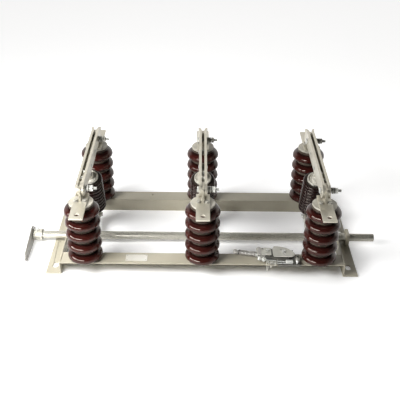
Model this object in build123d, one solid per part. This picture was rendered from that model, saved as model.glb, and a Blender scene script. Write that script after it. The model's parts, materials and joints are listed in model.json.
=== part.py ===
"""Three-pole disconnect switch on an angle-iron frame.

Millimetres. X runs along the frame from pole to pole, +X to the side with the shaft's free end.
Y runs across the frame, -Y to the side with the hinges and the hand drive. Z is up.
The origin is midway between the poles and the insulator rows, on the floor under the frame.
"""
import os
from math import acos, asin, atan2, cos, degrees, hypot, radians, sin, sqrt

from build123d import *

os.makedirs("parts", exist_ok=True)

# Layout
pole_pitch = 400.0            # from pole to pole along X
row_offset = 200.0            # from the middle to each row of insulators along Y
poles = {"left": -pole_pitch, "middle": 0.0, "right": pole_pitch}

# Frame of rolled angles
angle_wall = 5.0              # wall of every angle
frame_height = 50.0           # height of the upright legs
beam_flange = 60.0            # width of the long beams' top flange
beam_overhang = 35.0          # from the insulator row to the flange's outer edge
end_margin = 84.0             # from the outer poles to the end members' inner faces
end_flange = 53.0             # width of the end members' foot
slot_width = 18.0             # mounting slots in the feet
slot_length = 28.0
slot_from_edge = 27.0         # from the foot's outer edge to the slot's centre line
slot_row = 189.0              # from the middle to the slots along Y
earth_hole_r = 4.0
earth_hole_x = -195.0
earth_hole_from_row = 11.0    # from the rear row outwards
edge_round = 1.0

# Post insulators
post_height = 218.0           # porcelain, from the beam to the cap
shed_count = 5
shed_first = 14.5             # from the beam to the middle of the lowest shed
shed_last = 28.7              # from the middle of the highest shed to the cap
shed_r = 59.0
shed_groove_r = 43.5
shed_half = 17.5              # half the height of one shed
cap_r = 41.0
cap_height = 7.0

# Terminals
pad_width = 45.0
pad_thick = 6.0
pad_reach = 115.0             # from the post's axis to the pad's free end
pad_inner_reach = 40.0        # from the post's axis to the pad's end under the blade
pad_hole_r = 8.5
pad_hole_from_end = 23.0
tongue_thick = 8.0            # upright contact tongues
tongue_height = 50.0          # above the pad
tongue_round = 8.0
hinge_tongue_reach = 14.0     # from the post's axis outwards
hinge_tongue_inner = 42.0     # from the post's axis inwards
jaw_tongue_reach = 22.0
jaw_tongue_inner = 12.0

# Blades
contact_gap = 0.5             # between a tongue and each bar
bar_thick = 9.0
bar_height = 48.0
bar_above_pad = 9.0           # air between the pad and the bars
hinge_from_row = 17.0         # from the front row to the hinge pin, inwards
blade_nose = 28.0             # from the hinge pin to the bars' front end
blade_tail = 8.0              # from the rear row to where the bars flare out
flare_length = 20.0
flare_spread = 7.0
spacer_r = 9.0
spacer_y = 73.0
contact_bolt_from_row = 28.0  # from the rear row to the contact bolt, inwards

# Spring bolts
bolt_r = 5.0
bolt_clearance = 0.05
bolt_head_r = 9.0
bolt_head_thick = 6.0
bolt_reach = 53.0             # from the pole's middle to the thread's end
spring_r = 11.0
spring_length = 16.0
nut_across = 17.0
nut_thick = 8.0

# Operating shaft
shaft_y = -37.0
shaft_z = 27.5
shaft_r = 14.5
shaft_wall = 4.0
shaft_clearance = 0.05        # radial, in the webs and in the bearing
weld_gap = 0.02               # between the shaft and what is welded or clamped on it
shaft_overhang = 89.0         # from the feet's edges to the lever's bolts and to the shaft's free end
bearing_thick = 12.0
bearing_width = 46.0
bearing_from_edge = 2.0       # from the foot's outer edge to the bearing's outer face
stop_collar_r = 19.0
stop_collar_length = 12.0
stop_collar_gap = 5.0         # from the web to the collar

# Operating lever
lever_thick = 6.0
lever_bolt_r = 6.5            # two bolt heads on the lever's outer face
lever_bolt_thick = 6.0
lever_bolt_gap = 17.0         # from one bolt's middle to the other's
lever_hub_r = 27.0
lever_hub_rise = 5.0          # from the shaft up to the middle of the lever's round end
lever_tip_r = 15.5
lever_reach = 126.0           # from the shaft to the hole at the lever's tip, towards the front
lever_drop = 8.0              # from the shaft's height down to that hole
lever_hole_r = 6.0
hub_r = 20.0
hub_length = 28.0
hub_flange_r = 22.0
hub_flange_thick = 4.0

# Drag insulators and cranks
drag_pin_y = -22.0            # pin in the blade
drag_pin_below = 6.0          # drag pin's height below the hinge pin
crank_pin_y = 76.0            # pin at the crank's end
crank_pin_z = 45.0
drag_pin_r = 6.0
pin_clearance = 0.05
drag_eye_r = 12.0
drag_stem = 56.0              # from the blade's pin to the upper cap's top
drag_cap_r = 29.5
drag_cap_thick = 10.0
drag_boss_r = 14.0
drag_boss_thick = 16.0
lower_boss_r = 16.0
lower_boss_thick = 8.0
drag_body_r = 43.0
drag_groove_r = 38.0
drag_body_length = 161.0
drag_rib_count = 10
drag_rib_gap = 2.0            # straight groove between two ribs
lower_tongue_thick = 10.0
lower_eye_r = 13.0
lower_round_below_cap = 4.0   # from the cap down to the middle of the tongue's upper round end
eye_taper = 1.0               # how much narrower both tongues are at their caps
lower_bolt_r = 6.0
lower_bolt_reach = 8.0        # half the length of the lower bolt, which stops short of the cranks
crank_gap = 5.0               # between the lower tongue and each crank plate
crank_thick = 6.0
crank_hub_r = 21.0
crank_tip_r = 14.0
crank_tube_r = 18.5           # tube between the two plates, round the shaft
crank_hole_r = 8.0

# Travel
shaft_travel = 70.0           # degrees from closed to open

# Hand drive lying on the front beam
drive_length = 146.0
drive_from_post = 5.0         # from its base plate's right end to the right post's sheds
drive_depth = 58.0
drive_step = 68.0             # from its left end to where the base plate widens to the front
drive_over_edge = 10.0        # how far its base plate stands over the beam's front edge
drive_plate_thick = 5.0
drive_block_inset = 4.0       # from the base plate's left end to the left block
drive_block_length = 24.0
drive_block_height = 21.0
drive_block_depth = 24.0
stand_inset = 38.0            # from the base plate's right end to the right block
stand_length = 14.0
stand_depth = 20.0
quadrant_thick = 4.0
quadrant_arm_length = 51.0    # the arm over the left block
quadrant_arm_width = 37.0
quadrant_step = 10.0          # how far the sector is wider than the arm on both sides
quadrant_reach = 80.0         # from the arm to the sector's round end
quadrant_slot_r = 41.0
quadrant_slot_width = 5.0
quadrant_slot_start = 12.0    # degrees
quadrant_slot_sweep = 40.0
handle_r = 7.5
handle_length = 80.0
handle_swing = 11.0           # degrees that the handle swings to the rear
knob_r = 9.0

# Nameplate
nameplate_length = 74.0
nameplate_width = 36.0
nameplate_thick = 1.0
nameplate_x = -225.0

# Values that follow
frame_half_length = pole_pitch + end_margin
beam_y_out = row_offset + beam_overhang
beam_y_in = beam_y_out - beam_flange
foot_edge = frame_half_length + end_flange
shed_pitch = (post_height - shed_first - shed_last) / (shed_count - 1)
drive_x = pole_pitch - shed_r - drive_from_post - drive_length    # left end of the drive's base plate
cap_top = frame_height + post_height + cap_height
pad_top = cap_top + pad_thick
bar_bottom = pad_top + bar_above_pad
hinge_y = -row_offset + hinge_from_row
hinge_z = bar_bottom + bar_height / 2
bar_in = tongue_thick / 2 + contact_gap
bar_out = bar_in + bar_thick
drag_pin_z = hinge_z - drag_pin_below
lever_x = -foot_edge - shaft_overhang + lever_bolt_thick
shaft_right_end = foot_edge + shaft_overhang
lever_tip_y = shaft_y - lever_reach
lever_tip_z = shaft_z - lever_drop


def save(name, shape):
    """Write one named node."""
    shape.label = name
    export_step(shape, "parts/" + name + ".step")


def block(x0, x1, y0, y1, z0, z1):
    """A box given by its limits."""
    return Pos((x0 + x1) / 2, (y0 + y1) / 2, (z0 + z1) / 2) * Box(x1 - x0, y1 - y0, z1 - z0)


def rod(radius, x0, x1, y, z):
    """A cylinder along X."""
    return Pos((x0 + x1) / 2, y, z) * Rot(0, 90, 0) * Cylinder(radius, x1 - x0)


def link_plate(y0, z0, r0, y1, z1, r1, x0, x1):
    """A flat plate between x0 and x1: two round ends joined by their tangents."""
    length = hypot(y1 - y0, z1 - z0)
    heading = atan2(z1 - z0, y1 - y0)
    lean = asin((r0 - r1) / length)
    corners = []
    for side in (1, -1):
        turn = heading + side * (radians(90) - lean)
        corners.append((y0 + r0 * cos(turn), z0 + r0 * sin(turn)))
        corners.append((y1 + r1 * cos(turn), z1 + r1 * sin(turn)))
    outline = [corners[0], corners[1], corners[3], corners[2]]
    web = Polygon(*outline, align=None)
    flat = web + Pos(y0, z0) * Circle(r0) + Pos(y1, z1) * Circle(r1)
    # the flat shape's x and y become the part's Y and Z, and it grows along X
    upright = Plane(origin=(x0, 0, 0), x_dir=(0, 1, 0), z_dir=(1, 0, 0))
    return extrude(upright * flat, amount=x1 - x0, dir=(1, 0, 0))


# Frame
for side, name in ((-1, "front_beam"), (1, "rear_beam")):
    flange = block(-frame_half_length, frame_half_length,
                   min(side * beam_y_in, side * beam_y_out), max(side * beam_y_in, side * beam_y_out),
                   frame_height - angle_wall, frame_height)
    web_out = side * (beam_y_in + angle_wall)
    web = block(-frame_half_length, frame_half_length,
                min(side * beam_y_in, web_out), max(side * beam_y_in, web_out), 0, frame_height)
    beam = flange + web
    if side > 0:
        beam -= (Pos(earth_hole_x, row_offset + earth_hole_from_row, frame_height)
                 * Cylinder(earth_hole_r, 4 * angle_wall))
    save(name, beam)

slot_x = foot_edge - slot_from_edge
for side, name in ((-1, "left_end_member"), (1, "right_end_member")):
    web_out = side * (frame_half_length + angle_wall)
    web = block(min(side * frame_half_length, web_out), max(side * frame_half_length, web_out),
                -beam_y_out, beam_y_out, 0, frame_height)
    foot_in, foot_out = sorted((side * frame_half_length, side * foot_edge))
    foot = block(foot_in, foot_out, -beam_y_out, beam_y_out, 0, angle_wall)
    member = web + foot
    for row in (-1, 1):
        slot = extrude(Pos(side * slot_x, row * slot_row, -angle_wall)
                       * SlotOverall(slot_length, slot_width, rotation=90), amount=3 * angle_wall)
        member -= slot
    member -= rod(shaft_r + shaft_clearance, side * frame_half_length - 4 * angle_wall,
                  side * frame_half_length + 4 * angle_wall, shaft_y, shaft_z)
    save(name, member)

bearing_out = foot_edge - bearing_from_edge
bearing = block(bearing_out - bearing_thick, bearing_out, shaft_y - bearing_width / 2,
                shaft_y + bearing_width / 2, angle_wall, frame_height)
bearing -= rod(shaft_r + shaft_clearance, bearing_out - 2 * bearing_thick, bearing_out + bearing_thick,
               shaft_y, shaft_z)
save("shaft_bearing", bearing)

nameplate_y = -(beam_y_in + beam_y_out) / 2
save("nameplate", block(nameplate_x - nameplate_length / 2, nameplate_x + nameplate_length / 2,
                        nameplate_y - nameplate_width / 2, nameplate_y + nameplate_width / 2,
                        frame_height, frame_height + nameplate_thick))

# Post insulators and terminals


def ribbed_body(base, top, middles, half, groove_r, outer_r, shoulder_r=None):
    """A turned body with round ribs at the given heights, standing on the plane at base.

    With shoulder_r, a straight shoulder leads from the last rib to a rim of that radius at the top.
    """
    bulge = outer_r - groove_r
    bend_r = (bulge ** 2 + half ** 2) / (2 * bulge)
    bend_at = outer_r - bend_r
    # the lowest rib may reach below the base plane, which cuts it off
    foot = min(half, middles[0] - base)
    here = (bend_at + sqrt(bend_r ** 2 - foot ** 2), base)
    edges = [Line((0, base), here)]
    for middle in middles:
        if middle > middles[0]:
            edges.append(Line(here, (groove_r, middle - half)))
            here = (groove_r, middle - half)
        end = (groove_r, middle + half)
        if shoulder_r and middle == middles[-1]:
            reach = hypot(shoulder_r - bend_at, top - middle)
            turn = atan2(top - middle, shoulder_r - bend_at) - acos(bend_r / reach)
            end = (bend_at + bend_r * cos(turn), middle + bend_r * sin(turn))
        edges.append(ThreePointArc(here, (outer_r, middle), end))
        here = end
    if shoulder_r:
        edges.append(Line(here, (shoulder_r, top)))
        here = (shoulder_r, top)
    edges.append(Line(here, (0, top)))
    edges.append(Line((0, top), (0, base)))
    outline = make_face(Curve() + edges)
    return revolve(Plane.XZ * outline, Axis.Z)


shed_middles = [frame_height + shed_first + index * shed_pitch for index in range(shed_count)]
post = ribbed_body(frame_height, frame_height + post_height, shed_middles, shed_half, shed_groove_r, shed_r,
                   cap_r)


def tongue(y0, y1):
    """An upright contact tongue on the pad, with rounded upper corners."""
    plate = block(-tongue_thick / 2, tongue_thick / 2, y0, y1, pad_top, pad_top + tongue_height)
    corners = plate.edges().filter_by(Axis.X).sort_by(Axis.Z)[-2:]
    return fillet(corners, tongue_round)


for side, row_name, kind in ((-1, "front", "hinge"), (1, "rear", "jaw")):
    post_y = side * row_offset
    cap = Pos(0, post_y, cap_top - cap_height / 2) * Cylinder(cap_r, cap_height)
    cap = fillet(cap.edges().filter_by(GeomType.CIRCLE).sort_by(Axis.Z)[-1], 2 * edge_round)
    pad_out = side * (row_offset + pad_reach)
    pad_in = side * (row_offset - pad_inner_reach)
    pad = block(-pad_width / 2, pad_width / 2, min(pad_out, pad_in), max(pad_out, pad_in), cap_top, pad_top)
    pad -= Pos(0, pad_out - side * pad_hole_from_end, cap_top) * Cylinder(pad_hole_r, 6 * pad_thick)
    if kind == "hinge":
        upright = tongue(-row_offset - hinge_tongue_reach, -row_offset + hinge_tongue_inner)
        upright -= rod(bolt_r + bolt_clearance, -tongue_thick, tongue_thick, hinge_y, hinge_z)
    else:
        upright = tongue(row_offset - jaw_tongue_inner, row_offset + jaw_tongue_reach)
    terminal = cap + pad + upright
    for pole, pole_x in poles.items():
        save("post_insulator_" + row_name + "_" + pole, Pos(pole_x, post_y, 0) * post)
        save(kind + "_terminal_" + pole, Pos(pole_x, 0, 0) * terminal)

# Blades
bar_nose_y = hinge_y - blade_nose
bar_tail_y = row_offset + blade_tail
nose_r = bar_height / 2
contact_bolt_y = row_offset - contact_bolt_from_row


def blade_bar(side):
    """One flat bar on edge, with a round nose and a flared tail."""
    inner = side * bar_in
    outer = side * bar_out
    low, high = min(inner, outer), max(inner, outer)
    straight = block(low, high, bar_nose_y + nose_r, bar_tail_y, bar_bottom, bar_bottom + bar_height)
    nose = rod(nose_r, low, high, bar_nose_y + nose_r, hinge_z)
    tail_end = bar_tail_y + flare_length
    plan = Polygon((inner, bar_tail_y), (outer, bar_tail_y), (outer + side * flare_spread, tail_end),
                   (inner + side * flare_spread, tail_end), align=None)
    flare = extrude(Pos(0, 0, bar_bottom) * plan, amount=bar_height, dir=(0, 0, 1))
    return straight + nose + flare


blade = blade_bar(1) + blade_bar(-1)
blade += rod(spacer_r, -bar_out, bar_out, spacer_y, hinge_z)
blade += rod(drag_pin_r, -bar_out, bar_out, drag_pin_y, drag_pin_z)
for bolt_y in (hinge_y, contact_bolt_y):
    blade -= rod(bolt_r + weld_gap, -2 * bar_out, 2 * bar_out, bolt_y, hinge_z)


def spring_bolt(y, z):
    """A bolt along X with its head on the left and a spring and nut on the right."""
    shank = rod(bolt_r, -bar_out, bolt_reach, y, z)
    head = rod(bolt_head_r, -bar_out - bolt_head_thick, -bar_out, y, z)
    spring = rod(spring_r, bar_out, bar_out + spring_length, y, z)
    nut_x = bar_out + spring_length
    upright = Plane(origin=(nut_x, y, z), x_dir=(0, 1, 0), z_dir=(1, 0, 0))
    nut = extrude(upright * RegularPolygon(nut_across / 2, 6, major_radius=False), amount=nut_thick)
    return shank + head + spring + nut


for pole, pole_x in poles.items():
    save("blade_" + pole, Pos(pole_x, 0, 0) * blade)
    save("hinge_bolt_" + pole, Pos(pole_x, 0, 0) * spring_bolt(hinge_y, hinge_z))
    save("contact_bolt_" + pole, Pos(pole_x, 0, 0) * spring_bolt(contact_bolt_y, hinge_z))

# Drag insulators
# Each is drawn hanging straight down from the blade's pin at the origin, then leaned to the crank's pin.
link_length = hypot(crank_pin_y - drag_pin_y, drag_pin_z - crank_pin_z)
link_lean = degrees(atan2(crank_pin_y - drag_pin_y, drag_pin_z - crank_pin_z))
lower_cap_z = -(drag_stem + drag_cap_thick + drag_body_length + drag_cap_thick)
body_top = -(drag_stem + drag_cap_thick)

upper = link_plate(0, 0, drag_eye_r, 0, -(drag_stem - drag_boss_thick / 2), drag_eye_r - eye_taper,
                   -tongue_thick / 2, tongue_thick / 2)
upper += Pos(0, 0, -(drag_stem - drag_boss_thick / 2)) * Cylinder(drag_boss_r, drag_boss_thick)
upper += Pos(0, 0, body_top + drag_cap_thick / 2) * Cylinder(drag_cap_r, drag_cap_thick)
upper -= rod(drag_pin_r + pin_clearance, -tongue_thick, tongue_thick, 0, 0)

drag_rib_half = drag_body_length / drag_rib_count / 2 - drag_rib_gap / 2
drag_rib_pitch = (drag_body_length - 2 * drag_rib_half) / (drag_rib_count - 1)
body_foot = body_top - drag_body_length
drag_rib_middles = [body_foot + drag_rib_half + index * drag_rib_pitch for index in range(drag_rib_count)]
drag_body = ribbed_body(body_foot, body_top, drag_rib_middles, drag_rib_half, drag_groove_r, drag_body_r)

lower = link_plate(0, -link_length, lower_eye_r, 0, lower_cap_z - lower_round_below_cap,
                   lower_eye_r - eye_taper, -lower_tongue_thick / 2, lower_tongue_thick / 2)
lower += Pos(0, 0, lower_cap_z - lower_boss_thick / 2) * Cylinder(lower_boss_r, lower_boss_thick)
lower += Pos(0, 0, lower_cap_z + drag_cap_thick / 2) * Cylinder(drag_cap_r, drag_cap_thick)
lower += rod(lower_bolt_r, -lower_bolt_reach, lower_bolt_reach, 0, -link_length)

for pole, pole_x in poles.items():
    place = Pos(pole_x, drag_pin_y, drag_pin_z) * Rot(link_lean, 0, 0)
    save("drag_upper_fitting_" + pole, place * upper)
    save("drag_insulator_" + pole, place * drag_body)
    save("drag_lower_fitting_" + pole, place * lower)

# Operating shaft with its cranks and lever
shaft_left_end = lever_x + lever_thick
shaft = rod(shaft_r, shaft_left_end, shaft_right_end, shaft_y, shaft_z)
shaft -= rod(shaft_r - shaft_wall, shaft_left_end - 1, shaft_right_end + 1, shaft_y, shaft_z)
save("operating_shaft", shaft)

crank_in = lower_tongue_thick / 2 + crank_gap
crank_out = crank_in + crank_thick
crank = None
for side in (-1, 1):
    x0, x1 = sorted((side * crank_in, side * crank_out))
    plate = link_plate(shaft_y, shaft_z, crank_hub_r, crank_pin_y, crank_pin_z, crank_tip_r, x0, x1)
    plate -= rod(crank_hole_r, x0 - 1, x1 + 1, crank_pin_y, crank_pin_z)
    crank = plate if crank is None else crank + plate
crank += rod(crank_tube_r, -crank_out, crank_out, shaft_y, shaft_z)
crank -= rod(shaft_r + weld_gap, -2 * crank_out, 2 * crank_out, shaft_y, shaft_z)
for pole, pole_x in poles.items():
    save("crank_" + pole, Pos(pole_x, 0, 0) * crank)

lever_in = lever_x + lever_thick
lever = link_plate(shaft_y, shaft_z + lever_hub_rise, lever_hub_r, lever_tip_y, lever_tip_z, lever_tip_r,
                   lever_x, lever_in)
for offset in (-lever_bolt_gap / 2, lever_bolt_gap / 2):
    lever += rod(lever_bolt_r, lever_x - lever_bolt_thick, lever_x, shaft_y, shaft_z + offset)
lever -= rod(lever_hole_r, lever_x - 1, lever_in + 1, lever_tip_y, lever_tip_z)
hub = rod(hub_r, lever_in, lever_in + hub_length, shaft_y, shaft_z)
hub += rod(hub_flange_r, lever_in + hub_length, lever_in + hub_length + hub_flange_thick, shaft_y, shaft_z)
hub -= rod(shaft_r + weld_gap, lever_in, lever_in + hub_length + 2 * hub_flange_thick, shaft_y, shaft_z)
save("operating_lever", lever + hub)

collar_x = frame_half_length + angle_wall + stop_collar_gap
collar = rod(stop_collar_r, collar_x, collar_x + stop_collar_length, shaft_y, shaft_z)
collar -= rod(shaft_r + weld_gap, collar_x - 1, collar_x + stop_collar_length + 1, shaft_y, shaft_z)
save("stop_collar", collar)

# Hand drive
drive_front = -beam_y_out - drive_over_edge
drive_rear = drive_front + drive_depth
drive_top = frame_height + drive_plate_thick
quadrant_bottom = drive_top + drive_block_height
base_plate = block(drive_x, drive_x + drive_length, drive_rear - drive_block_depth, drive_rear,
                   frame_height, drive_top)
base_plate += block(drive_x + drive_step, drive_x + drive_length, drive_front, drive_rear,
                    frame_height, drive_top)
block_x = drive_x + drive_block_inset
left_block = block(block_x, block_x + drive_block_length, drive_rear - drive_block_depth, drive_rear,
                   drive_top, quadrant_bottom)
stand_x = drive_x + drive_length - stand_inset
right_block = block(stand_x, stand_x + stand_length, drive_rear - stand_depth, drive_rear,
                    drive_top, quadrant_bottom)
save("drive_base", base_plate + left_block + right_block)

# The quadrant lies flat on both blocks: an arm, and a sector with a round end and a curved slot.
arm_y = drive_rear - drive_block_depth / 2
arm_front = arm_y - quadrant_arm_width / 2
arm_rear = arm_y + quadrant_arm_width / 2
arm_left = block_x - 2 * drive_block_inset
arm_right = arm_left + quadrant_arm_length
sector_right = arm_right + quadrant_reach
fan = make_face(Curve() + [
    Polyline((sector_right - quadrant_step, arm_front - quadrant_step),
             (arm_right + quadrant_step, arm_front - quadrant_step), (arm_right, arm_front),
             (arm_left, arm_front), (arm_left, arm_rear), (arm_right, arm_rear),
             (arm_right + quadrant_step, arm_rear + quadrant_step)),
    ThreePointArc((arm_right + quadrant_step, arm_rear + quadrant_step),
                  (sector_right - quadrant_arm_width / 2, arm_rear - quadrant_step / 4),
                  (sector_right, arm_front + quadrant_step)),
    Line((sector_right, arm_front + quadrant_step),
         (sector_right - quadrant_step, arm_front - quadrant_step)),
])
slot_x_middle = arm_right + quadrant_step
slot_y_middle = arm_front - quadrant_step / 2
fan -= SlotArc(CenterArc((slot_x_middle, slot_y_middle), quadrant_slot_r, quadrant_slot_start,
                         quadrant_slot_sweep), quadrant_slot_width)
save("drive_quadrant", extrude(Pos(0, 0, quadrant_bottom) * fan, amount=quadrant_thick, dir=(0, 0, 1)))

handle = Pos(-handle_length / 2, 0, 0) * Rot(0, 90, 0) * Cylinder(handle_r, handle_length)
handle += Pos(-handle_length, 0, 0) * Sphere(knob_r)
handle_x = block_x - handle_r * sin(radians(handle_swing))
handle_y = drive_rear - drive_block_depth / 2
handle_z = drive_top + drive_block_height / 2
save("drive_handle", Pos(handle_x, handle_y, handle_z) * Rot(0, 0, -handle_swing) * handle)

# Travel, for the record
blade_arm = hypot(drag_pin_y - hinge_y, drag_pin_z - hinge_z)
blade_start = atan2(drag_pin_z - hinge_z, drag_pin_y - hinge_y)
crank_arm = hypot(crank_pin_y - shaft_y, crank_pin_z - shaft_z)
crank_start = atan2(crank_pin_z - shaft_z, crank_pin_y - shaft_y)


def open_pose(turn):
    """The blade's and the link's true angles in degrees from closed, for a turn of the shaft."""
    swing = crank_start + radians(turn)
    pin_y = shaft_y + crank_arm * cos(swing)
    pin_z = shaft_z + crank_arm * sin(swing)
    reach = hypot(pin_y - hinge_y, pin_z - hinge_z)
    heading = atan2(pin_z - hinge_z, pin_y - hinge_y)
    corner = acos((reach ** 2 + blade_arm ** 2 - link_length ** 2) / (2 * reach * blade_arm))
    blade_angle = heading + corner
    top_y = hinge_y + blade_arm * cos(blade_angle)
    top_z = hinge_z + blade_arm * sin(blade_angle)
    link_angle = atan2(pin_z - top_z, pin_y - top_y)
    link_start = atan2(crank_pin_z - drag_pin_z, crank_pin_y - drag_pin_y)
    return degrees(blade_angle - blade_start), degrees(link_angle - link_start)


blade_open, link_open = open_pose(shaft_travel)
print("blade opens", round(blade_open, 3), "ratio", round(blade_open / shaft_travel, 5))
print("link turns", round(link_open, 3), "relative to the blade", round(link_open - blade_open, 3),
      "ratio", round((link_open - blade_open) / shaft_travel, 5))
print("hinge", hinge_y, hinge_z, "drag pin", drag_pin_y, drag_pin_z, "link lean", round(link_lean, 3))
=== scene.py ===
"""Looks of a three-pole disconnect switch: its fine shapes, finishes, light and camera.

Metres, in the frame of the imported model. X runs from pole to pole, -Y is the hinge side, Z is up.
"""
import json
from math import acos, asin, atan2, cos, degrees, hypot, pi, radians, sin, sqrt, tan

import bmesh
import bpy
from mathutils import Matrix, Vector, noise


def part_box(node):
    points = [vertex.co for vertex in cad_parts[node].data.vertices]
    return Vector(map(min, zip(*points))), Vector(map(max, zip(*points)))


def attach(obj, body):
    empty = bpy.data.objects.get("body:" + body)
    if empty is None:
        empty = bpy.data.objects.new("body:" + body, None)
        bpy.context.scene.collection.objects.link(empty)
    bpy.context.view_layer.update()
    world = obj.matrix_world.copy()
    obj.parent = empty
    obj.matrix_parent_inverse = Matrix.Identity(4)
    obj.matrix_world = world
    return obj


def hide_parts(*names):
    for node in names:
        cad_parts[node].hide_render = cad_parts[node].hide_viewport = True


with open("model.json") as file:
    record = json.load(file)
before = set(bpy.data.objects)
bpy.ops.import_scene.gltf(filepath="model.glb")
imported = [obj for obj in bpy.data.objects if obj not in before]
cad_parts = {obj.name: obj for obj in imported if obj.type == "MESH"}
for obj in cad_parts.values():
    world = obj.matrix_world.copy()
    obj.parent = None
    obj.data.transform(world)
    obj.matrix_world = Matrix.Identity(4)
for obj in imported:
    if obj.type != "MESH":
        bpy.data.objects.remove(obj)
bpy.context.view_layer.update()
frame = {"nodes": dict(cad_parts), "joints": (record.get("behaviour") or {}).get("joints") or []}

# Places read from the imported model
poles = ("left", "middle", "right")
rows = {"front": -1, "rear": 1}
sides = ((-1, "left"), (1, "right"))
joints = {joint["name"]: Vector(joint["pos_m"]) for joint in frame["joints"]}
hinge = joints["middle_blade_turn"]
drag_pin = joints["middle_drag_turn"]
shaft_axis = joints["shaft_turn"]


def middle(node):
    """The middle of a node's box."""
    low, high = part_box(node)
    return (low + high) / 2


pole_x = {pole: middle("post_insulator_front_" + pole).x for pole in poles}
row_y = {row: middle("post_insulator_" + row + "_middle").y for row in rows}
beam_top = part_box("front_beam")[1].z
post_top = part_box("post_insulator_front_middle")[1].z
post_height = post_top - beam_top
tongue_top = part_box("hinge_terminal_middle")[1].z

# Post insulators
shed_r = 0.059
shed_middles = [0.0145 + 0.0437 * index for index in range(5)]
shed_reach = 0.0195           # of a shed beyond the core between the sheds
shed_above = 0.0205           # from a shed's widest level to its top
shed_below = 0.0110           # from the widest level down to its underside
cap_r = 0.041
cap_height = 0.007
cap_rounding = 0.0022

# Terminals
pad_width = 0.045
pad_thick = 0.006
pad_hole_r = 0.0085
pad_hole_from_end = 0.023
pad_bolt_apart = 0.0140       # of the bolts beside the tongue from the pole's middle
pad_bolt_out = 0.0100         # of the same bolts from the row outwards
tongue_thick = 0.008
tongue_corner_r = 0.008
pad_corner_r = 0.0018
tongue_ends = {"hinge": (-0.014, 0.042), "jaw": (-0.022, 0.012)}      # from the row, towards the other row

# Blades
bar_gap = 0.0045              # from the pole's middle to each bar
bar_thick = 0.009
bar_height = 0.048
flare_length = 0.020
flare_spread = 0.007
spacer_r = 0.009
spacer_y = 0.073
front_spacer_y = (-0.098, -0.138)     # small tubes between the bars, in front of the drag insulator
front_spacer_r = 0.0075
front_spacer_rise = 0.010     # of their axis above the middle of the bars
contact_bolt_y = middle("contact_bolt_middle").y

# Spring bolts
bolt_r = 0.005
bolt_across = 0.019
nut_height = 0.0075
disc_r = 0.0108               # washers
disc_thick = 0.0036
middle_disc_thick = 0.0028
spring_r = 0.0082
spring_wire_r = 0.0026
spring_turns = 1.6
spring_length = 0.0125
head_washer_r = 0.0095
head_washer_thick = 0.0015
thread_length = 0.0225
shank_from_end = 0.022        # of the bolt
outer_disc_thick = 0.002
nut_from_spring = 0.003

# Drag insulators
crank_pin = Vector((0, 0.076, 0.045))
drag_stem = 0.056
drag_cap_r = 0.0295
drag_cap_thick = 0.010
drag_body_r = 0.043
drag_body_length = 0.161
drag_rib_middles = [0.0075 + 0.1460 * index / 9 for index in range(10)]
drag_rib_bulge_r = 0.0072
drag_groove_bend_r = 0.0026

# Bolts on washers: the washer's radius, bore and thickness, then the head's width across flats and its height
post_bolt = (0.013, 0.0055, 0.0025, 0.019, 0.008)
pad_bolt = (0.0082, 0.004, 0.0012, 0.013, 0.0050)
crank_bolt = (0.0115, 0.0055, 0.0016, 0.016, 0.0062)
sector_bolt = (0.0072, 0.0025, 0.0013, 0.010, 0.005)
bridge_bolt = (0.0072, 0.0025, 0.0013, 0.010, 0.004)


# Shapes in mesh code

def shape(vertices, faces, sharp=40):
    """A mesh from points and faces, with outward normals, smooth but for edges sharper than the angle."""
    work = bmesh.new()
    made = [work.verts.new(point) for point in vertices]
    for face in faces:
        work.faces.new([made[index] for index in face])
    return finished(work, sharp)


def finished(work, sharp=40):
    """Turn a bmesh into a mesh."""
    bmesh.ops.remove_doubles(work, verts=work.verts, dist=1e-7)
    bmesh.ops.recalc_face_normals(work, faces=work.faces)
    mesh = bpy.data.meshes.new("shape")
    work.to_mesh(mesh)
    work.free()
    mesh.shade_smooth()
    mesh.set_sharp_from_angle(angle=radians(sharp))
    return mesh


def ring_faces(rings, steps, closed=False):
    """Faces between successive rings of points, and from the last ring to the first if closed."""
    faces = []
    for ring in range(rings if closed else rings - 1):
        following = (ring + 1) % rings
        for step in range(steps):
            beside = (step + 1) % steps
            faces.append((ring * steps + step, ring * steps + beside,
                          following * steps + beside, following * steps + step))
    return faces


def end_faces(rings, steps):
    """The first and the last ring as flat faces."""
    return [list(range(steps)), list(range((rings - 1) * steps, rings * steps))]


def turned(profile, steps=64, sharp=40):
    """A turned shape about Z. The profile's points are (radius, height), and its ends lie on the axis,
    or else it closes on itself as a ring."""
    on_axis = profile[0][0] == 0
    rings = profile[1:-1] if on_axis else profile
    vertices = []
    for radius, height in rings:
        for step in range(steps):
            turn = 2 * pi * step / steps
            vertices.append((radius * cos(turn), radius * sin(turn), height))
    faces = ring_faces(len(rings), steps, not on_axis)
    if on_axis:
        for ring, height in ((0, profile[0][1]), (len(rings) - 1, profile[-1][1])):
            vertices.append((0, 0, height))
            for step in range(steps):
                faces.append((ring * steps + step, ring * steps + (step + 1) % steps, len(vertices) - 1))
    return shape(vertices, faces, sharp)


def arc(centre, radius, start, end, steps):
    """Points of an arc in degrees."""
    return [(centre[0] + radius * cos(radians(start + (end - start) * step / steps)),
             centre[1] + radius * sin(radians(start + (end - start) * step / steps)))
            for step in range(steps + 1)]


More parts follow.
